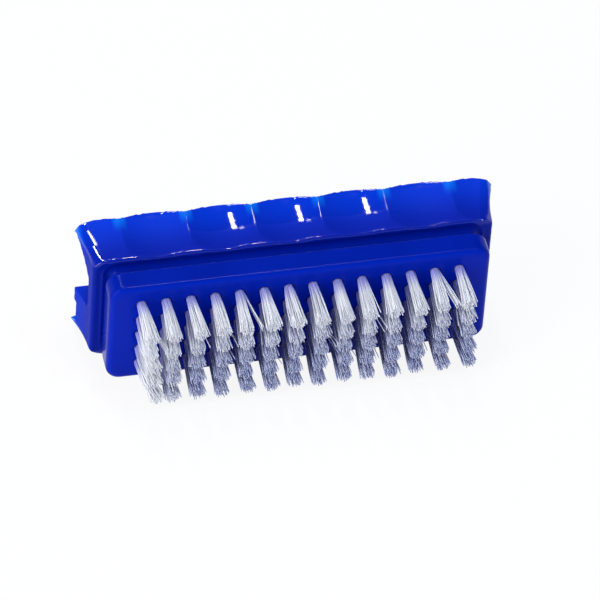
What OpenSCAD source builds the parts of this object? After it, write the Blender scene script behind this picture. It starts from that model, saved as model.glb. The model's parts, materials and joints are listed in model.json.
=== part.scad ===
// Winged nail brush: one moulded body with finger scoops along two flared wings,
// seventy nylon tufts in blind holes, and a flat wire anchor under each tuft.
//
// The pieces are drawn in the brush's own axes: X runs along the brush, Y runs from the
// bristle face towards the back (the face is at zero, bristles are at negative Y), and
// Z runs across the brush from the lower wing to the upper one. lie_down() then turns the
// whole brush to the way it lies on a table, on the notches of its lower wing and on the
// lower edge of the bristle block.

/* [Bristle block] */
// Length of the block that holds the bristles
block_l = 93.6; // [90:0.1:97]
// Width of the block, from edge to edge
block_w = 31.2; // [29.8:0.1:33]
// Radius of the block's four corners, seen from the bristle side
block_corner_r = 3.5; // [2.5:0.1:5]
// Radius of the rounded edge round the bristle face
block_edge_r = 1.6; // [0.8:0.1:2]

/* [Groove round the neck] */
// Distance from the bristle face to the middle of the groove
groove_y = 7.7; // [7.2:0.1:8.2]
// Radius of the groove's section
groove_r = 1.7; // [1.5:0.1:2]
// How deep the groove is cut into the sides of the block
groove_depth = 2.6; // [2:0.1:2.8]
// Width of the land between the groove and the flange that carries the wings
flange_land = 0.3; // [0.2:0.1:0.6]
// Bevel on the front edge of the flange's two ends
flange_bevel = 0.5; // [0.3:0.1:1]

/* [Wings] */
// Distance from the bristle face to the crests of the wings' lobes
wing_y = 23.5; // [21:0.1:26]
// How far each wing leans out between the root of its scoops and its crests
wing_flare = 1.1; // [0.6:0.1:2]
// Thickness of a wing at its rim
wing_wall = 2.1; // [1.8:0.1:2.6]
// Distance from the middle of the groove back to the root of the scoops
scoop_root = 2.2; // [1.9:0.1:2.6]
// How far the root of the scoops stands proud of the block's long sides
scoop_proud = 0.5; // [0.3:0.1:1]
// How far the ridges between the scoops stand proud of the scoops' root at most
ridge_rise = 0.3; // [0.2:0.1:0.8]
// Radius of a finger scoop
scoop_r = 30; // [27:0.5:40]
// Spacing of the finger scoops
finger_pitch = 16.3; // [15:0.1:17.5]
// Height of a full lobe of the rim above its notches
lobe_h = 1.5; // [0.8:0.1:2.4]
// Height of the short lobe at each end of the rim
end_lobe_h = 1.1; // [0.6:0.1:1.6]

/* [Ends of the wings] */
// How far the root of the wings stands out past the end of the block
end_step = 2.4; // [2:0.1:3.2]
// How far the end of a wing leans out between its root and its tip
end_flare = 2.6; // [1.4:0.1:3.4]
// Radius of the wings' four rounded corners
wing_corner_r = 4; // [3:0.1:5]

/* [Hollow back] */
// Distance from the bristle face to the floor of the open trough
trough_y = 13.6; // [12.8:0.1:14.4]
// Height of the open trough's foot on the upper wing, above the middle plane
trough_foot = 7; // [6:0.1:8]
// Distance from the bristle face to the line where the slope inside a wing ends
slope_y = 20.8; // [20.4:0.1:21.4]
// Distance from the bristle face to the back of the rib
rib_y = 20.8; // [19.6:0.1:21.8]
// How far the middle of the rib lies below the middle plane
rib_drop = 5.4; // [5:0.1:5.8]
// Width of the rib's flat back
rib_w = 4.4; // [3.6:0.1:5]
// How much wider the rib is at the floor of the trough
rib_draft = 1; // [0.4:0.1:1.6]
// Distance from the bristle face to the floor of the closed trough below the rib
pocket_y = 15.6; // [14.6:0.1:16.4]
// Distance from the middle plane down to the closed trough's foot on the lower wing
pocket_foot = 11.5; // [10.8:0.1:12.2]
// Thickness of the walls that close the two ends of that trough
end_wall = 2; // [1.6:0.1:3]
// Distance from the bristle face to the back of those walls
end_wall_y = 19.9; // [18.6:0.1:20.3]

/* [Bristles] */
// Number of tufts along the brush
column_n = 14; // [10:1:14]
// Number of tufts across the brush
row_n = 5; // [4:1:5]
// Distance from each end of the block to the middle of the nearest tufts
tuft_end_gap = 7.8; // [7.4:0.1:9]
// Distance from each long side of the block to the middle of the nearest tufts
tuft_side_gap = 5.4; // [5:0.1:6]
// Diameter of a tuft hole
hole_d = 2.4; // [2:0.1:2.8]
// Depth of a tuft hole
hole_depth = 7; // [5:0.1:8]
// Length of the bristles that stands out of the block
bristle_l = 12.6; // [9:0.1:16]
// Diameter of a tuft at its splayed tip
tip_d = 3.5; // [3:0.1:4]
// How far a tuft leans from true at its tip, at most
tuft_lean = 0.35; // [0:0.05:0.5]
// How far the cut ends differ in length, at most
tip_ragged = 0.3; // [0:0.05:0.6]
// Radial clearance of a tuft in its hole
tuft_fit = 0.05; // [0.02:0.01:0.1]

/* [Anchors] */
// Thickness of the flat anchor wire
anchor_t = 0.4; // [0.3:0.05:0.6]
// Height of an anchor
anchor_h = 1.6; // [1:0.1:2.2]
// Clearance round an anchor
anchor_fit = 0.05; // [0.02:0.01:0.1]

/* [Hidden] */
function number(i) = str(i < 9 ? "0" : "", i + 1);
columns = [for (i = [0:column_n - 1]) i];
$fn = 96;
over = 1;              // overrun of every cut
finger_n = 5;          // full finger scoops on a wing
corner_proud = 0.3;    // how far the corner rounding stands clear of the faces it joins
strand_n = 7;          // strands of a tuft: one in the middle and the rest round it
strand_root = 0.8;     // how deep a strand is fused into the root of its tuft
lean_seed = 41;
ragged_seed = 7;

// Sizes of a tuft, as shares of its hole and its tip
root_ring_share = 0.6;
root_strand_share = 0.25;
tip_ring_share = 0.72;
tip_strand_share = 0.28;

half_l = block_l / 2;
half_w = block_w / 2;
hole_r = hole_d / 2;
plug_r = hole_r - tuft_fit;

// The groove is a round section swept along a rounded rectangle outside the block
groove_out = groove_r - groove_depth;
flange_y = groove_y + sqrt(pow(groove_r, 2) - pow(groove_out, 2)) + flange_land;

// A scoop is a ball through the root line and the crest line of the wing
root_y = groove_y + scoop_root;
root_z = half_w + scoop_proud;
crest_z = root_z + wing_flare;
wing_chord = norm([wing_y - root_y, wing_flare]);
ball_off = sqrt(pow(scoop_r, 2) - pow(wing_chord / 2, 2));
ball_y = (root_y + wing_y) / 2 - ball_off * wing_flare / wing_chord;
ball_z = (root_z + crest_z) / 2 + ball_off * (wing_y - root_y) / wing_chord;
// Height of the scooped face above the middle plane, at depth y and dx from a scoop's middle
function scoop_z(y, dx) = ball_z - sqrt(pow(scoop_r, 2) - pow(dx, 2) - pow(y - ball_y, 2));

notch_y = wing_y - lobe_h;
notch_z = scoop_z(notch_y, finger_pitch / 2);
wing_z = notch_z + over;

// The ends of the wings, hollowed by an upright cylinder
end_root = half_l + end_step;
wing_half_l = end_root + end_flare;
end_hollow_r = (pow(notch_y - root_y, 2) + pow(end_flare, 2)) / (2 * end_flare);

// Lobes of the rim
lobes_half_l = finger_n * finger_pitch / 2;
function arc_r(half_chord, rise) = (pow(half_chord, 2) + pow(rise, 2)) / (2 * rise);
lobe_r = arc_r(finger_pitch / 2, lobe_h);
end_lobe_half = (wing_half_l - lobes_half_l) / 2;
end_lobe_r = arc_r(end_lobe_half, end_lobe_h);

// Inside of the rims, and the two sides of the rib
rim_z = crest_z - wing_wall;
rib_near = rib_drop - rib_w / 2;
rib_far = rib_drop + rib_w / 2;

// The ridges between the scoops are trimmed level with the front edge of the flange
side_z = root_z + ridge_rise;

column_pitch = (block_l - 2 * tuft_end_gap) / (column_n - 1);
row_pitch = (block_w - 2 * tuft_side_gap) / (row_n - 1);

// Rest on a table: the floor touches the lower wing and rolls on the block's round edge
function tilt_of(y, z) =
    let (dy = y - block_edge_r, dz = z - half_w + block_edge_r)
    atan2(dz, dy) - asin(block_edge_r / norm([dy, dz]));
rest_tilt = max(
    tilt_of(flange_y, side_z), tilt_of(notch_y, notch_z), tilt_of(wing_y, crest_z)
);
rest_lift = (half_w - block_edge_r) * cos(rest_tilt) - block_edge_r * sin(rest_tilt) + block_edge_r;

// Places of the tufts
function column_x(i) = (i - (column_n - 1) / 2) * column_pitch;
function row_z(j) = (j - (row_n - 1) / 2) * row_pitch;
function lean(i, j) =
    let (n = i * row_n + j, draws = rands(-tuft_lean, tuft_lean, 2 * column_n * row_n, lean_seed))
    [draws[2 * n], draws[2 * n + 1]];
function ragged(i, j, k) = rands(0, tip_ragged, 4 * strand_n, ragged_seed + i * row_n + j)[4 * k];

// One strand: a tapered square bar from inside the tuft's root to its cut end
function ring(x, y, z, r, turn) =
    [for (q = [0:3]) [x + r * cos(turn + 90 * q), y, z + r * sin(turn + 90 * q)]];
function strand_turn(i, j, k) = 360 * k / (strand_n - 1) + 17 * (i + 2 * j);
function strand_tip(i, j, k) =
    let (
        a = strand_turn(i, j, k),
        r = k == 0 ? 0 : tip_d / 2 * tip_ring_share,
        shift = lean(i, j)
    )
    ring(
        column_x(i) + shift[0] + r * cos(a),
        ragged(i, j, k) - bristle_l,
        row_z(j) + shift[1] + r * sin(a),
        tip_d / 2 * tip_strand_share, a
    );
function strand_base(i, j, k) =
    let (a = strand_turn(i, j, k), r = k == 0 ? 0 : plug_r * root_ring_share)
    ring(
        column_x(i) + r * cos(a), strand_root, row_z(j) + r * sin(a),
        plug_r * root_strand_share, a
    );

// The brush lies with the middle of its box over the origin
front_y = min([
    for (i = columns, k = [0:strand_n - 1], p = strand_tip(i, row_n - 1, k))
        p[1] * cos(rest_tilt) - p[2] * sin(rest_tilt)
]);
back_y = wing_y * cos(rest_tilt) + crest_z * sin(rest_tilt);
rest_shift = -(front_y + back_y) / 2;

module lie_down() {
    translate([0, rest_shift, rest_lift]) rotate([rest_tilt, 0, 0]) children();
}

// Turns an outline drawn as [depth, height] into a bar of length l along X
module bar_along(l) {
    rotate([90, 0, 90]) translate([0, 0, -l / 2]) linear_extrude(l) children();
}

// Plate with rounded corners in the X and Z directions, from depth y0 to y1
module rounded_plate(l, w, r, y0, y1) {
    translate([0, y1, 0]) rotate([90, 0, 0]) linear_extrude(y1 - y0) {
        square([l - 2 * r, w], center = true);
        square([l, w - 2 * r], center = true);
        for (sx = [-1, 1], sz = [-1, 1])
            translate([sx * (l / 2 - r), sz * (w / 2 - r)]) circle(r);
    }
}

// Round section of radius r swept along a rounded rectangle at depth y
module round_sweep(l, w, corner_r, r, y) {
    dx = l / 2 - corner_r;
    dz = w / 2 - corner_r;
    for (s = [-1, 1]) {
        translate([-dx, y, s * w / 2]) rotate([0, 90, 0]) cylinder(r = r, h = 2 * dx);
        translate([s * l / 2, y, -dz]) cylinder(r = r, h = 2 * dz);
    }
    for (sx = [0, 1], sz = [0, 1])
        mirror([sx, 0, 0]) mirror([0, 0, sz]) translate([dx, y, dz]) rotate([90, 0, 0])
            rotate_extrude(angle = 90) translate([corner_r, 0]) circle(r);
}

// The bristle block with its rounded front edge
module block() {
    inset = 2 * block_edge_r;
    rounded_plate(block_l, block_w, block_corner_r, block_edge_r, root_y);
    rounded_plate(block_l - inset, block_w - inset, block_corner_r - block_edge_r, 0, root_y);
    round_sweep(
        block_l - inset, block_w - inset, block_corner_r - block_edge_r,
        block_edge_r, block_edge_r
    );
}

// Outline of the flange and the wings, with bevelled front corners and lobes along the back
module wing_outline() {
    bevel_y = flange_y + flange_bevel + end_flare;
    back = wing_y + over;
    difference() {
        intersection() {
            union() {
                for (k = [0:finger_n - 1])
                    translate([(k - (finger_n - 1) / 2) * finger_pitch, wing_y - lobe_r])
                        circle(lobe_r);
                for (s = [-1, 1])
                    translate([
                        s * (lobes_half_l + end_lobe_half),
                        notch_y + end_lobe_h - end_lobe_r
                    ]) circle(end_lobe_r);
            }
            polygon([
                [flange_bevel - end_root, flange_y], [end_root - flange_bevel, flange_y],
                [wing_half_l, bevel_y], [wing_half_l, back],
                [-wing_half_l, back], [-wing_half_l, bevel_y]
            ]);
        }
        for (s = [-1, 1])
            translate([s * (end_root + end_hollow_r), root_y]) circle(end_hollow_r);
    }
}

// Section of the wings: both sides rise straight from the flange to the rim, as [depth, height]
module wing_section() {
    rise = (notch_z + ridge_rise - side_z) / (wing_y - flange_y);
    front = side_z - rise * over;
    back = notch_z + ridge_rise + rise * over;
    polygon([
        [flange_y - over, -front], [wing_y + over, -back],
        [wing_y + over, back], [flange_y - over, front]
    ]);
}

// The open trough between the rib and the upper wing, as [depth, height]
module open_trough() {
    back = wing_y + over;
    polygon([
        [trough_y, -rib_near + rib_draft / 2], [rib_y, -rib_near], [back, -rib_near],
        [back, rim_z], [slope_y, rim_z], [trough_y, trough_foot]
    ]);
}

// The trough between the rib and the lower wing, which is closed at both ends
module closed_trough() {
    back = wing_y + over;
    polygon([
        [pocket_y, -rib_far - rib_draft / 2], [rib_y, -rib_far], [back, -rib_far],
        [back, -rim_z], [slope_y, -rim_z], [pocket_y, -pocket_foot]
    ]);
}

// What is cut away from end to end: the open trough, and all behind the rib and the end walls
module through_cut() {
    open_trough();
    intersection() {
        closed_trough();
        translate([end_wall_y, -crest_z]) square([wing_y, crest_z]);
    }
    translate([rib_y, -rib_far - over]) square([wing_y, rib_w + 2 * over]);
}

// Cutter that rounds one corner of the flange and its wing, along a line that flares with them
module corner_cutter() {
    run = [end_flare, notch_y - flange_y];
    lean_x = atan2(run[0], run[1]);
    lean_z = atan2(wing_flare, wing_y - flange_y);
    length = wing_y - flange_y + 4 * over;
    inset = wing_corner_r - corner_proud;
    translate([end_root - inset, flange_y, root_z - inset]) rotate([lean_z, 0, -lean_x])
        translate([0, -over, 0]) difference() {
            cube([2 * wing_corner_r, length, 2 * wing_corner_r]);
            translate([0, -over, 0]) rotate([-90, 0, 0])
                cylinder(r = wing_corner_r, h = length + 2 * over);
        }
}

// The cutter for one wing's row of finger scoops, kept behind the middle of the groove
module scoops() {
    intersection() {
        for (k = [-1:finger_n])
            translate([(k - (finger_n - 1) / 2) * finger_pitch, ball_y, ball_z])
                sphere(scoop_r);
        translate([-wing_half_l - over, groove_y, 0])
            cube([2 * (wing_half_l + over), scoop_r, ball_z]);
    }
}

module body() {
    color("royalblue") lie_down() difference() {
        union() {
            block();
            difference() {
                intersection() {
                    translate([0, 0, -wing_z]) linear_extrude(2 * wing_z) wing_outline();
                    bar_along(2 * (wing_half_l + over)) wing_section();
                }
                for (sx = [0, 1], sz = [0, 1])
                    mirror([sx, 0, 0]) mirror([0, 0, sz]) corner_cutter();
            }
        }
        round_sweep(
            block_l + 2 * groove_out, block_w + 2 * groove_out,
            block_corner_r + groove_out, groove_r, groove_y
        );
        scoops();
        mirror([0, 0, 1]) scoops();
        bar_along(2 * (wing_half_l + over)) through_cut();
        bar_along(2 * (end_root - end_wall)) closed_trough();
        for (i = columns, j = [0:row_n - 1])
            translate([column_x(i), -over, row_z(j)]) rotate([-90, 0, 0])
                cylinder(d = hole_d, h = hole_depth + over);
    }
}

module strand(i, j, k) {
    polyhedron(
        points = concat(strand_base(i, j, k), strand_tip(i, j, k)),
        faces = concat(
            [[0, 1, 2], [0, 2, 3], [4, 6, 5], [4, 7, 6]],
            [for (q = [0:3]) let (n = (q + 1) % 4) [n, q, q + 4]],
            [for (q = [0:3]) let (n = (q + 1) % 4) [n, q + 4, n + 4]]
        )
    );
}

// A column of tufts: each root fills its hole and straddles its anchor
module tufts(i) {
    color("whitesmoke") lie_down() for (j = [0:row_n - 1]) {
        difference() {
            translate([column_x(i), 0, row_z(j)]) rotate([-90, 0, 0])
                cylinder(r = plug_r, h = hole_depth);
            translate([
                column_x(i) - hole_d, hole_depth - anchor_h - anchor_fit,
                row_z(j) - anchor_t / 2 - anchor_fit
            ]) cube([2 * hole_d, anchor_h + anchor_fit + over, anchor_t + 2 * anchor_fit]);
        }
        for (k = [0:strand_n - 1]) strand(i, j, k);
    }
}

// A column of anchors: each lies across the bottom of its hole
module anchors(i) {
    anchor_w = hole_d - 2 * anchor_fit;
    color("silver") lie_down() for (j = [0:row_n - 1])
        translate([
            column_x(i) - anchor_w / 2, hole_depth - anchor_h, row_z(j) - anchor_t / 2
        ]) cube([anchor_w, anchor_h, anchor_t]);
}

body();
for (i = columns) {
    tufts(i);
    anchors(i);
}
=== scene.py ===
"""Looks of a winged nail brush lying on its side: one glossy blue moulding with finger
scoops along its wings, and seventy splayed tufts of pale nylon.

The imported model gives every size. Sizes in this file are in millimetres and in the
brush's own axes, X along the brush, Y (its depth) from the bristle face towards the back
and Z (its height) across it, until BrushAxes turns them to the metres and the lie of the
frame. The floor and the lamps are placed in metres, in the frame.
"""

import json
import math

import bpy
import numpy as np
from mathutils import Matrix, Vector


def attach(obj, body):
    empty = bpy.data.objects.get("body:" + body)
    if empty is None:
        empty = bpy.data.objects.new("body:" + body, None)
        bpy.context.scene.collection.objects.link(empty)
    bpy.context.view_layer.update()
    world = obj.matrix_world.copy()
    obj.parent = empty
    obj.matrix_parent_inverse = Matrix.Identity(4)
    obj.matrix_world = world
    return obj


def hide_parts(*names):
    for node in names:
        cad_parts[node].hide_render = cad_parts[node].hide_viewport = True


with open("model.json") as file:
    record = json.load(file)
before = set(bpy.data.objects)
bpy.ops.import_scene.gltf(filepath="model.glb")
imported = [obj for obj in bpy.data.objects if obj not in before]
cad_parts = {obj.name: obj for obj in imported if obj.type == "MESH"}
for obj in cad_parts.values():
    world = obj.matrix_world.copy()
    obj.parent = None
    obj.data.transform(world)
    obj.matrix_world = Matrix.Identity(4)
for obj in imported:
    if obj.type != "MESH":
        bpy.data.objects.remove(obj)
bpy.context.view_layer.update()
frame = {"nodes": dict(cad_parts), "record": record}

MM = 0.001

# The brush, as in the part's source
RIB_BACK = 20.8
RIB_DROP = 5.4
WING_CREST = 23.5
WING_END = 51.8
FOOT_DEPTH = 9.9
END_FOOT = 49.2
END_HOLLOW_R = 29.456
RIM_INSIDE = 15.1
FINGER_PITCH = 16.3
COLUMN_PITCH = 6.0
ROW_PITCH = 5.1
COLUMNS = 14
ROWS = 5
BRISTLE_LENGTH = 12.6

# The skin of the moulding, and how often its edges and all of it are smoothed
WELD_REACH = 0.001
SKIN_VOXEL = 0.3
SKIN_SMOOTHINGS = 7
EDGE_SMOOTHINGS = 14

# The rounded outer corners at the wings' ends, and the softened front edge of the wings
CORNER_LENGTH = 2.8
CORNER_DROP = 1.2
CORNER_FADE = 1.3
CORNER_OVERRUN = 0.6
FOOT_EDGE_DEPTHS = (8.9, 11.0)
FOOT_EDGE_HEIGHT = 15.4

# Zones of painted light and shade on the moulding, each from where it starts to where it is full
FACE_DEPTHS = (0.2, 1.4)
WING_DEPTHS = (8.5, 10.5)
RIM_DEPTHS = (10.0, WING_CREST + 2)
OUTER_HEIGHTS = (14.2, 15.4)
THIN_END_LENGTHS = (49.6, 51.6)
THIN_END_HEIGHTS = (13.5, 15.5)
THIN_NOTCH_DEPTHS = (18.0, 22.5)
THIN_NOTCH_SHARES = (0.86, 1.0)

# Polished zones of the wings' outer faces: their front edge, their crest, their middle
# three scoops and the corners at their ends, which lean outwards with the depth
FOOT_GLOSS_START = (8.5, 8.9)
FOOT_GLOSS_STOP = (9.9, 10.4)
CREST_GLOSS_DEPTHS = (21.6, 22.4)
CREST_GLOSS_STOP = (39.0, 41.0)
MIDDLE_GLOSS_DEPTHS = (15.2, 16.8)
MIDDLE_GLOSS_STOP = (23.0, 25.5)
CORNER_LEAN = 0.2
CORNER_GLOSS_LENGTHS = (43.6, 44.4)
CORNER_GLOSS_DEPTHS = (9.0, 10.0)

# The tufts and their filaments. The spreads are those at the holes and at the cut ends
FILAMENTS = 62
FILAMENT_R = 0.13
FILAMENT_SIDES = 5
CUT_END_SHARE = 0.88
CUT_END_REACH = 1.0
ROOT_SPREAD = 1.08
TIP_SPREAD = 1.95
SPREAD_SHARES = (0.86, 1.08)
SCATTER = 0.12
STRAY_SHARE = 0.05
STRAY_SCATTER = 0.75
CROSSING_REACH = (1.6, 2.6)
CROSSING_SHORTER = 0.5
CUT_SHORTER = (0.06, 0.6)
BOW = 0.14
SPLAY_CURVE = 1.05
LEAN_CURVE = 1.3
SUNK = 1.2
PATH_SHARES = (-SUNK / BRISTLE_LENGTH, 0.0, 0.3, 0.65, 1.0)
FIRST_SEED = 100

# The painted shade of each row's filaments, from the lowest row to the highest, as a range of
# random tones: lower rows darker, and painted light on the first two columns
MIDDLE_PAINTED_SHADE = ((0.0, 0.3), (0.0, 0.35), (0.05, 0.5), (0.3, 0.85), (0.65, 1.0))
FIRST_COLUMNS_PAINTED_LIGHT_AND_SHADE = {0: ((0.75, 1.0),) * ROWS, 1: ((0.2, 0.7),) * 3 + ((0.5, 0.9), (0.6, 1.0))}

# How far the tufts of each row lean along the brush, from the lowest row to the highest,
# and, by column and row, how many filaments of a tuft cross to the next column
ROW_LEAN = {0: (2.2, 1.7, 1.1, 0.5, 0.0), COLUMNS - 1: (0.9, 0.8, 0.5, 0.2, 0.0)}
MIDDLE_LEAN = (0.3, 0.2, 0.0, 0.0, 0.0)
CROSSING_FILAMENTS = {(4, 4): 5, (12, 4): 9, (0, 3): 6, (9, 3): 4, (7, 2): 4}

# The studio, in metres
FLOOR_HALF = 4.0
BRUSH_MIDDLE = Vector((0, 0, 0.015))

# The camera, fitted to the tufts and to the outline of the brush
CAMERA_AZIMUTH = -13.196
CAMERA_ELEVATION = 40.401
CAMERA_ROLL = 2.134
CAMERA_DISTANCE = 1930.2
FOCAL_PIXELS = 8000.0
PICTURE_PIXELS = 600.0
FACE_CENTRE_PIXEL = (298.77, 315.65)
SENSOR_MM = 36.0


class BrushAxes:
    """Turns the brush's own millimetres to the frame's metres, and back."""

    def __init__(self, record):
        rib = next(m for m in record["mounts"] if m["name"] == "rib_back")
        self.back = Vector(rib["axis"]).normalized()
        self.across = Vector((1, 0, 0)).cross(self.back)
        self.origin = (
            Vector(rib["pos_m"]) - self.back * RIB_BACK * MM + self.across * RIB_DROP * MM
        )
        self.turn = np.array([(1.0, 0.0, 0.0), tuple(self.back), tuple(self.across)])

    def to_frame(self, points):
        return np.asarray(points) * MM @ self.turn + np.array(self.origin)

    def to_brush(self, points):
        return (np.asarray(points) - np.array(self.origin)) @ self.turn.T / MM

    def points_of(self, mesh):
        """The vertices of a mesh, in the brush's own millimetres."""
        points = np.empty(len(mesh.vertices) * 3)
        mesh.vertices.foreach_get("co", points)
        return self.to_brush(points.reshape(-1, 3))


brush = BrushAxes(frame["record"])


class Value:
    """A number that varies over a surface. Sums and products of values add Math nodes."""

    def __init__(self, graph, socket):
        self.graph = graph
        self.socket = socket

    def maths(self, operation, *inputs):
        return self.graph.node("ShaderNodeMath", {"operation": operation}, dict(enumerate(inputs)))

    def __add__(self, other):
        return self.maths("ADD", self, other)

    def __radd__(self, other):
        return self.maths("ADD", other, self)

    def __sub__(self, other):
        return self.maths("SUBTRACT", self, other)

    def __rsub__(self, other):
        return self.maths("SUBTRACT", other, self)

    def __mul__(self, other):
        return self.maths("MULTIPLY", self, other)

    def __rmul__(self, other):
        return self.maths("MULTIPLY", other, self)

    def cosine(self):
        return self.maths("COSINE", self)

    def size(self):
        return self.maths("ABSOLUTE", self)

    def greater(self, other):
        return self.maths("MAXIMUM", self, other)

    def between(self, low, high):
        """Rises smoothly from 0 at low to 1 at high."""
        return self.graph.node(
            "ShaderNodeMapRange", {"interpolation_type": "SMOOTHSTEP"},
            {"Value": self, "From Min": low, "From Max": high},
        )


class Graph:
    """The nodes of one material or of the world, emptied and ready to be built."""

    def __init__(self, tree):
        self.tree = tree
        self.tree.nodes.clear()

    def node(self, kind, settings, values, output=0):
        """Adds a node and returns one of its outputs, or nothing for a node without any."""
        made = self.tree.nodes.new(kind)
        for name, setting in settings.items():
            setattr(made, name, setting)
        for name, value in values.items():
            if isinstance(value, Value):
                self.tree.links.new(value.socket, made.inputs[name])
            else:
                made.inputs[name].default_value = value
        return Value(self, made.outputs[output]) if made.outputs else None

    def place(self):
        return self.node("ShaderNodeTexCoord", {}, {}, output="Object")

    def attribute(self, name):
        return self.node("ShaderNodeAttribute", {"attribute_name": name}, {}, output="Fac")

    def blend(self, share, first, second):
        """The first colour where the share is 0, and the second where it is 1."""
        return self.node(
            "ShaderNodeMix", {"data_type": "RGBA"}, {0: share, 6: first, 7: second}, output=2
        )

    def noise(self, scale, detail=2.0):
        return self.node(
            "ShaderNodeTexNoise", {}, {"Vector": self.place(), "Scale": scale, "Detail": detail}
        )

    def bump(self, height, strength, distance):
        return self.node(
            "ShaderNodeBump", {}, {"Height": height, "Strength": strength, "Distance": distance}
        )

    def surface(self, shader):
        self.node("ShaderNodeOutputMaterial", {}, {"Surface": shader})

    def principled_surface(self, values):
        self.surface(self.node("ShaderNodeBsdfPrincipled", {}, values))


def new_material(name):
    material = bpy.data.materials.new(name)
    material.use_nodes = True
    return material, Graph(material.node_tree)


def along_brush(graph, direction):
    """How far a point lies along one of the brush's axes, in millimetres."""
    reach = graph.node(
        "ShaderNodeVectorMath", {"operation": "DOT_PRODUCT"},
        {0: graph.place(), 1: tuple(direction / MM)}, output="Value",
    )
    return reach - direction.dot(brush.origin) / MM


def blue_with_painted_light(graph, depth, length, height):
    """Blue with painted light and shade: darker on the block, lighter on the bristle face,
    brightening from the wings' foot to their rim, and a painted azure glow of light through the
    thin notches and ends.
    """
    cloud = graph.noise(scale=60.0).between(0.35, 0.65)
    # The block's darker blue is painted shade; the noise gives it a random tone.
    block = graph.blend(cloud, (0.0, 0.011, 0.29, 1), (0.0, 0.013, 0.33, 1))
    # The bristle face's lighter blue is painted light.
    block = graph.blend(depth.between(*FACE_DEPTHS), (0.0, 0.017, 0.43, 1), block)
    # The wing's darker foot is painted shade, and its brighter rim a painted glow of light through
    # the plastic.
    foot = graph.blend(depth.between(*WING_DEPTHS), block, (0.0, 0.012, 0.34, 1))
    wing = graph.blend(depth.between(*RIM_DEPTHS), foot, (0.0, 0.038, 0.62, 1))
    # Painted azure glow of light shining through the thin ends and notches.
    end_glow = length.between(*THIN_END_LENGTHS) * height.between(*THIN_END_HEIGHTS)
    notch = (length * (2 * math.pi / FINGER_PITCH)).cosine() * -0.5 + 0.5
    notch_glow = depth.between(*THIN_NOTCH_DEPTHS) * notch.between(*THIN_NOTCH_SHARES)
    notch_glow = notch_glow * height.between(*OUTER_HEIGHTS)
    painted_glow = (notch_glow * 0.7).greater(end_glow * 0.8)
    return graph.blend(painted_glow, wing, (0.0, 0.2, 0.85, 1))


def polish(depth, length, height):
    """1 on the polished zones of the wings' outer faces, and a little on their front edge."""
    foot = depth.between(*FOOT_GLOSS_START) * (1 - depth.between(*FOOT_GLOSS_STOP))
    crest = depth.between(*CREST_GLOSS_DEPTHS) * (1 - length.between(*CREST_GLOSS_STOP))
    middle = depth.between(*MIDDLE_GLOSS_DEPTHS) * (1 - length.between(*MIDDLE_GLOSS_STOP))
    corner = (length - depth * CORNER_LEAN).between(*CORNER_GLOSS_LENGTHS)
    corner = corner * depth.between(*CORNER_GLOSS_DEPTHS)
    polished = (foot * 0.35).greater(crest).greater(middle).greater(corner)
    return polished * height.between(*OUTER_HEIGHTS)


def blue_plastic():
    """Polypropylene: satin on the block, duller on the wings, glossy where it is polished."""
    material, graph = new_material("royal_blue_polypropylene")
    depth = along_brush(graph, brush.back)
    length = along_brush(graph, Vector((1, 0, 0))).size()
    height = along_brush(graph, brush.across).size()
    polished = polish(depth, length, height)
    dulled = (1 - polished) * (0.1 + depth.between(*WING_DEPTHS) * 0.37)
    grain = graph.noise(scale=900.0).between(0.3, 0.7) * 0.03
    ripple = graph.noise(scale=350.0, detail=1.0)
    graph.principled_surface({
        "Base Color": blue_with_painted_light(graph, depth, length, height),
        "Roughness": 0.06 + dulled + grain,
        "IOR": 1.49,
        "Specular IOR Level": 0.05,
        "Coat Weight": polished,
        "Coat Roughness": 0.04,
        "Coat IOR": 1.5,
        "Normal": graph.bump(ripple, strength=0.035, distance=0.0004),
    })
    return material


def pale_nylon():
    """Undyed nylon: milky, with painted blue light from the moulding near the block, each filament
    its own tone, and painted shade and light by row and column.
    """
    material, graph = new_material("pale_nylon")
    shade = graph.attribute("filament_tone_and_painted_shade")
    reach = graph.attribute("filament_reach").between(0.0, 0.5)
    # Dark filaments are painted shade and light ones painted light, within a random tone.
    outer = graph.blend(shade, (0.3, 0.34, 0.6, 1), (0.97, 0.98, 1.0, 1))
    graph.principled_surface({
        # The blue towards the block is painted light thrown back from the blue moulding.
        "Base Color": graph.blend(reach, (0.38, 0.38, 0.85, 1), outer),
        "Roughness": 0.34,
        "IOR": 1.53,
        "Subsurface Weight": 0.35,
        "Subsurface Radius": (0.6, 0.6, 0.7),
        "Subsurface Scale": 0.001,
    })
    return material


def dull_wire():
    """Flat drawn anchor wire, scratched along its length."""
    material, graph = new_material("dull_anchor_wire")
    drawn_out = graph.node(
        "ShaderNodeMapping", {}, {"Vector": graph.place(), "Scale": (0.1, 1.0, 1.0)}
    )
    scratches = graph.node(
        "ShaderNodeTexNoise", {}, {"Vector": drawn_out, "Scale": 4000.0, "Detail": 2.0}
    )
    graph.principled_surface({
        "Base Color": graph.blend(scratches, (0.42, 0.42, 0.43, 1), (0.62, 0.62, 0.63, 1)),
        "Metallic": 1.0,
        "Roughness": 0.3 + scratches * 0.25,
    })
    return material


def object_of(name, mesh):
    made = bpy.data.objects.new(name, mesh)
    bpy.context.scene.collection.objects.link(made)
    return made


def settle(piece):
    """Applies a piece's modifiers to its mesh."""
    finished = bpy.data.meshes.new_from_object(
        piece.evaluated_get(bpy.context.evaluated_depsgraph_get())
    )
    piece.modifiers.clear()
    piece.data = finished


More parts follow.
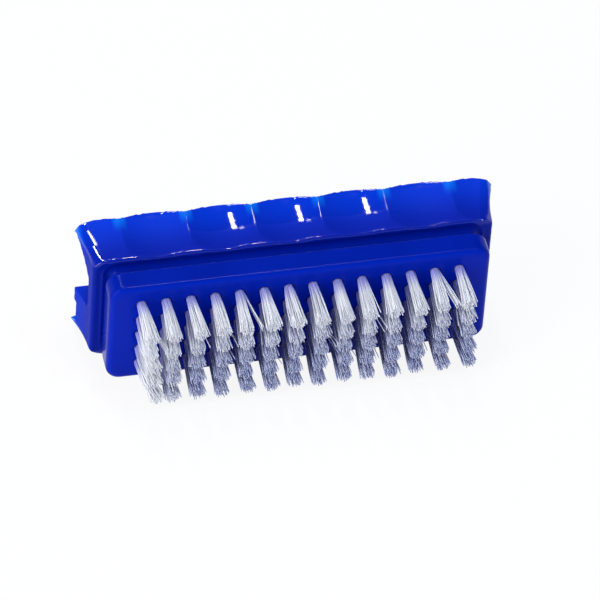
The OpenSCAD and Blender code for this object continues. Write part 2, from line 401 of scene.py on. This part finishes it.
def round_wing_ends(mesh):
    """Rounds the wings' outer corners at both ends. Returns these and the wings' front edges."""
    points = brush.points_of(mesh)
    length, depth, height = np.abs(points[:, 0]), points[:, 1], np.abs(points[:, 2])
    flare = END_HOLLOW_R - np.sqrt(END_HOLLOW_R ** 2 - np.maximum(depth - FOOT_DEPTH, 0) ** 2)
    end = np.minimum(END_FOOT + flare, WING_END)
    share = np.clip((length - end) / CORNER_LENGTH + 1, 0, 1)
    drop = CORNER_DROP * (1 - np.sqrt(1 - share ** 2))
    outside = np.clip((height - RIM_INSIDE) / CORNER_FADE, 0, 1)
    outside *= depth > FOOT_DEPTH - CORNER_OVERRUN
    points[:, 2] -= np.sign(points[:, 2]) * drop * outside
    mesh.vertices.foreach_set("co", brush.to_frame(points).ravel())
    corner = (share > 0) & (outside > 0)
    foot_start, foot_stop = FOOT_EDGE_DEPTHS
    foot = (depth > foot_start) & (depth < foot_stop) & (height > FOOT_EDGE_HEIGHT)
    return np.flatnonzero(corner | foot).tolist()


def moulded_skin(material):
    """The body with every edge softened, as it leaves the mould."""
    skin = object_of("moulded_body", frame["nodes"]["body"].data.copy())
    skin.data.materials.clear()
    weld = skin.modifiers.new("weld", "WELD")
    weld.merge_threshold = WELD_REACH * MM
    remesh = skin.modifiers.new("remesh", "REMESH")
    remesh.mode = "VOXEL"
    remesh.voxel_size = SKIN_VOXEL * MM
    remesh.use_smooth_shade = True
    settle(skin)
    soft_edges = skin.vertex_groups.new(name="soft_edges")
    soft_edges.add(round_wing_ends(skin.data), 1.0, "REPLACE")
    for name, group, rounds in (
        ("edges", "soft_edges", EDGE_SMOOTHINGS), ("all", "", SKIN_SMOOTHINGS)
    ):
        smooth = skin.modifiers.new(name, "SMOOTH")
        smooth.factor = 0.5
        smooth.iterations = rounds
        smooth.vertex_group = group
    settle(skin)
    skin.data.name = "moulded_body"
    skin.data.materials.clear()
    skin.data.materials.append(material)
    skin.data.shade_smooth()
    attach(skin, "root")
    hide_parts("body")


def row_height(row):
    return (row - (ROWS - 1) / 2) * ROW_PITCH


def tuft_tips(node):
    """The middle of each tuft's cut end in a column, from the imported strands."""
    points = brush.points_of(node.data)
    ends = points[points[:, 1] < CUT_END_REACH - BRISTLE_LENGTH]
    rows = (np.abs(ends[:, 2] - row_height(row)) < ROW_PITCH / 2 for row in range(ROWS))
    return [ends[near].mean(axis=0) for near in rows]


def filament_paths(rng, root, tip, lean, crossing):
    """Points down every filament of one tuft: straight in its hole, splayed outside it."""
    count = np.arange(FILAMENTS)
    radius = np.sqrt((count + 0.5) / FILAMENTS)
    angle = count * math.pi * (3 - math.sqrt(5)) + rng.uniform(0, 2 * math.pi)
    disc = np.stack([radius * np.cos(angle), radius * np.sin(angle)], 1)
    splay = disc * TIP_SPREAD * rng.uniform(*SPREAD_SHARES, (FILAMENTS, 1))
    splay += rng.normal(0, SCATTER, (FILAMENTS, 2))
    stray = rng.random(FILAMENTS) < STRAY_SHARE
    splay[stray] += rng.normal(0, STRAY_SCATTER, (int(stray.sum()), 2))
    across_gap = np.argsort(disc[:, 0])[FILAMENTS - crossing:]
    splay[across_gap, 0] += rng.uniform(*CROSSING_REACH, crossing)
    length = BRISTLE_LENGTH - rng.uniform(*CUT_SHORTER, FILAMENTS)
    length[across_gap] -= CROSSING_SHORTER
    bow = rng.normal(0, BOW, (FILAMENTS, 2))
    paths = []
    for share in PATH_SHARES:
        out = max(share, 0.0)
        centre = root + (tip - root) * out
        across = disc * ROOT_SPREAD * (1 - out) + splay * out ** SPLAY_CURVE
        across = across + bow * math.sin(math.pi * out)
        paths.append(np.stack([
            centre[0] + across[:, 0] + lean * out ** LEAN_CURVE,
            -length * share,
            centre[2] + across[:, 1],
        ], 1))
    return np.stack(paths, 1)


def filament_faces(count, stops):
    """The sides and the two cut ends of tubes with one ring of corners at each stop."""
    faces = []
    for strand in range(count):
        first = strand * stops * FILAMENT_SIDES
        for stop in range(stops - 1):
            low = first + stop * FILAMENT_SIDES
            for side in range(FILAMENT_SIDES):
                following = (side + 1) % FILAMENT_SIDES
                faces.append((
                    low + side, low + FILAMENT_SIDES + side,
                    low + FILAMENT_SIDES + following, low + following,
                ))
        end = first + (stops - 1) * FILAMENT_SIDES
        faces.append(tuple(first + side for side in range(FILAMENT_SIDES)))
        faces.append(tuple(end + side for side in reversed(range(FILAMENT_SIDES))))
    return faces


def filament_mesh(name, paths, shades):
    """Tapered tubes along the paths, with each filament's tone, painted shade included, and its
    reach kept on them.
    """
    count, stops = paths.shape[:2]
    turn = np.arange(FILAMENT_SIDES) * 2 * math.pi / FILAMENT_SIDES
    ring = np.stack([np.cos(turn), np.zeros_like(turn), np.sin(turn)], 1)
    taper = np.linspace(1.0, CUT_END_SHARE, stops)[None, :, None, None]
    points = paths[:, :, None, :] + ring[None, None] * FILAMENT_R * taper
    points = brush.to_frame(points.reshape(-1, 3))
    mesh = bpy.data.meshes.new(name)
    mesh.from_pydata(points.tolist(), [], filament_faces(count, stops))
    mesh.shade_smooth()
    shade = np.repeat(shades, stops * FILAMENT_SIDES)
    reach = np.tile(np.repeat(np.maximum(PATH_SHARES, 0), FILAMENT_SIDES), count)
    for attribute, values in (("filament_tone_and_painted_shade", shade), ("filament_reach", reach)):
        mesh.attributes.new(attribute, "FLOAT", "POINT").data.foreach_set("value", values)
    mesh.update()
    return mesh


def nylon_column(column, material):
    """One column of tufts, as full as the holes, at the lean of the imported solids."""
    name = f"tufts_column_{column + 1:02d}"
    rng = np.random.default_rng(FIRST_SEED + column)
    x = (column - (COLUMNS - 1) / 2) * COLUMN_PITCH
    paths, shades = [], []
    for row, tip in enumerate(tuft_tips(frame["nodes"][name])):
        root = np.array([x, 0.0, row_height(row)])
        lean = ROW_LEAN.get(column, MIDDLE_LEAN)[row]
        crossing = CROSSING_FILAMENTS.get((column, row), 0)
        paths.append(filament_paths(rng, root, tip, lean, crossing))
        # The row's range of tones carries the painted shade and painted light.
        darkest, lightest = FIRST_COLUMNS_PAINTED_LIGHT_AND_SHADE.get(column, MIDDLE_PAINTED_SHADE)[row]
        shades.append(rng.uniform(darkest, lightest, FILAMENTS))
    mesh = filament_mesh(name + "_filaments", np.concatenate(paths), np.concatenate(shades))
    mesh.materials.append(material)
    tufts = object_of("nylon_" + name, mesh)
    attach(tufts, "root")
    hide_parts(name)


def dress_anchors(material):
    for column in range(COLUMNS):
        anchors = frame["nodes"][f"anchors_column_{column + 1:02d}"]
        for slot in anchors.material_slots:
            slot.material = material


def seen_directly(graph):
    """1 for what the camera, gloss and clear things see, and 0 for the light on matt things."""
    camera, gloss, clear = (
        graph.node("ShaderNodeLightPath", {}, {}, output=ray)
        for ray in ("Is Camera Ray", "Is Glossy Ray", "Is Transmission Ray")
    )
    return camera.greater(gloss).greater(clear)


def white_floor():
    """A wide plain floor: white to the eye and in gloss, with the shadow left on it."""
    material, graph = new_material("white_floor")
    lit = graph.node("ShaderNodeBsdfDiffuse", {}, {"Color": (0.86, 0.87, 0.9, 1)})
    bright = graph.node("ShaderNodeEmission", {}, {"Color": (1, 1, 1, 1), "Strength": 1.0})
    bright_share = seen_directly(graph) * 0.9
    graph.surface(graph.node("ShaderNodeMixShader", {}, {0: bright_share, 1: lit, 2: bright}))
    mesh = bpy.data.meshes.new("floor")
    corners = [(x * FLOOR_HALF, y * FLOOR_HALF, 0) for x, y in ((-1, -1), (1, -1), (1, 1), (-1, 1))]
    mesh.from_pydata(corners, [], [(0, 1, 2, 3)])
    mesh.materials.append(material)
    object_of("floor", mesh)


def studio_world():
    """A soft even light, in which gloss shows white walls and a dark ceiling."""
    world = bpy.data.worlds.new("white_walls_dark_ceiling")
    bpy.context.scene.world = world
    world.use_nodes = True
    graph = Graph(world.node_tree)
    direction = graph.node("ShaderNodeTexCoord", {}, {}, output="Generated")
    height = graph.node("ShaderNodeSeparateXYZ", {}, {"Vector": direction}, output="Z")
    walls = graph.blend(height.between(0.3, 0.6), (1, 1, 1, 1), (0.05, 0.05, 0.06, 1))
    colour = graph.blend(seen_directly(graph), (0.27, 0.28, 0.34, 1), walls)
    light = graph.node("ShaderNodeBackground", {}, {"Color": colour})
    graph.node("ShaderNodeOutputWorld", {}, {"Surface": light})


def softbox(name, direction, distance, width, length, radiance, tint=(1, 1, 1)):
    """A rectangular lamp that looks at the brush from a direction, of the given radiance."""
    data = bpy.data.lights.new(name, "AREA")
    data.shape = "RECTANGLE"
    data.size = width
    data.size_y = length
    data.energy = radiance * math.pi * width * length
    data.color = tint
    towards = Vector(direction).normalized()
    along = towards.cross(Vector((1, 0, 0))).normalized()
    side = along.cross(towards).normalized()
    facing = Matrix((side, along, towards)).transposed().to_4x4()
    object_of(name, data).matrix_world = (
        Matrix.Translation(BRUSH_MIDDLE + towards * distance) @ facing
    )


def studio_lamps():
    """Two strips for the long streaks, two small lamps for the glints, two soft fills."""
    softbox(
        "overhead_strip", direction=(0.01, 0.35, 0.94), distance=3.0,
        width=0.17, length=1.0, radiance=32.0,
    )
    softbox(
        "cool_side_lamp", direction=(0.38, -0.2, 0.9), distance=2.0,
        width=0.14, length=0.18, radiance=90.0, tint=(0.5, 0.8, 1.0),
    )
    softbox(
        "warm_top_lamp", direction=(0.145, 0.03, 0.99), distance=2.0,
        width=0.08, length=0.24, radiance=90.0, tint=(1.0, 0.85, 0.75),
    )
    softbox(
        "rear_strip", direction=(-0.07, 0.603, 0.797), distance=3.0,
        width=0.15, length=0.84, radiance=26.0,
    )
    softbox(
        "key_softbox", direction=(-0.75, -0.5, 0.85), distance=1.5,
        width=0.8, length=0.8, radiance=4.2,
    )
    softbox(
        "left_fill", direction=(-1.0, -0.45, 0.3), distance=1.5,
        width=0.8, length=0.6, radiance=6.0,
    )


def photo_camera():
    azimuth, elevation, roll = (
        math.radians(angle) for angle in (CAMERA_AZIMUTH, CAMERA_ELEVATION, CAMERA_ROLL)
    )
    back = Vector((
        math.sin(azimuth) * math.cos(elevation),
        -math.cos(azimuth) * math.cos(elevation),
        math.sin(elevation),
    ))
    level = Vector((0, 0, 1)).cross(back).normalized()
    upright = back.cross(level)
    right = level * math.cos(roll) + upright * math.sin(roll)
    up = upright * math.cos(roll) - level * math.sin(roll)
    pixel = CAMERA_DISTANCE * MM / FOCAL_PIXELS
    middle = PICTURE_PIXELS / 2
    centre = (
        brush.origin
        + right * (middle - FACE_CENTRE_PIXEL[0]) * pixel
        - up * (middle - FACE_CENTRE_PIXEL[1]) * pixel
    )
    data = bpy.data.cameras.new("photo_camera")
    data.sensor_width = SENSOR_MM
    data.lens = FOCAL_PIXELS / PICTURE_PIXELS * SENSOR_MM
    data.clip_start = 0.1
    data.clip_end = 20.0
    camera = object_of("photo_camera", data)
    facing = Matrix((right, up, back)).transposed().to_4x4()
    camera.matrix_world = Matrix.Translation(centre + back * CAMERA_DISTANCE * MM) @ facing
    bpy.context.scene.camera = camera


photo_camera()
moulded_skin(blue_plastic())
nylon = pale_nylon()
for column in range(COLUMNS):
    nylon_column(column, nylon)
dress_anchors(dull_wire())
white_floor()
studio_world()
studio_lamps()
bpy.context.scene.view_settings.view_transform = "Standard"
